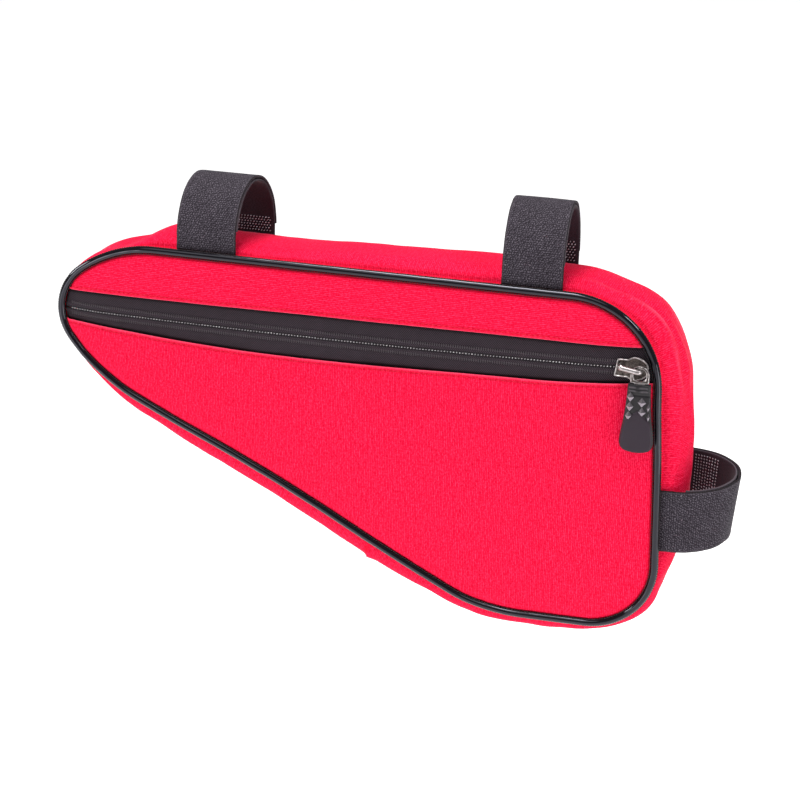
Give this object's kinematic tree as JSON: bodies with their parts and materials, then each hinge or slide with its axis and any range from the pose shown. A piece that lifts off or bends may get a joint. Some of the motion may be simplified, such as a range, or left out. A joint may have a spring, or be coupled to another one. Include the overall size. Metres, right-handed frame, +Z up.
{
  "type": "bicycle frame bag",
  "caption": "Red bicycle frame bag with black piping, a zip across its front and hook-and-loop straps for the frame's tubes.",
  "frame": {"origin": "on the axis of the bicycle's top tube, halfway between the two upper straps and midway between the bag's two faces' seams", "axes": "+X towards the seat tube, along the bag's longest size; +Y towards the back face, along the shortest size; +Z up"},
  "size_m": [0.3531, 0.0659, 0.2164],
  "materials": {
    "red_cloth": "ribbed woven polyester, matt",
    "black_piping": "shiny coated cord piping",
    "black_webbing": "brushed loop face, woven selvedges",
    "zip_tape": "twill tape, matt",
    "zip_coil": "nylon coil",
    "gunmetal": "dark nickel plating, worn bright on its edges",
    "grip_rubber": "moulded soft rubber, satin"
  },
  "bodies": {
    "bag": {"gusset": "red_cloth", "front_upper_panel": "red_cloth", "front_lower_panel": "red_cloth", "back_panel": "red_cloth", "piping_front": "black_piping", "zip_tape_upper": "zip_tape", "zip_tape_lower": "zip_tape", "zip_coil": "zip_coil", "zip_slider": "gunmetal", "front_strap_inner": "black_webbing", "front_strap_outer": "black_webbing", "rear_strap_inner": "black_webbing", "rear_strap_outer": "black_webbing", "seat_strap_inner": "black_webbing", "seat_strap_outer": "black_webbing"},
    "puller": {"puller_ring": "gunmetal", "puller_grip": "grip_rubber"}
  },
  "joints": [
    {"name": "puller_swing", "type": "hinge", "parent": "bag", "child": "puller", "pos_m": [0.13701, -0.0321, -0.05094], "axis": [0, -1, 0], "range_deg": [-45, 180]}
  ]
}
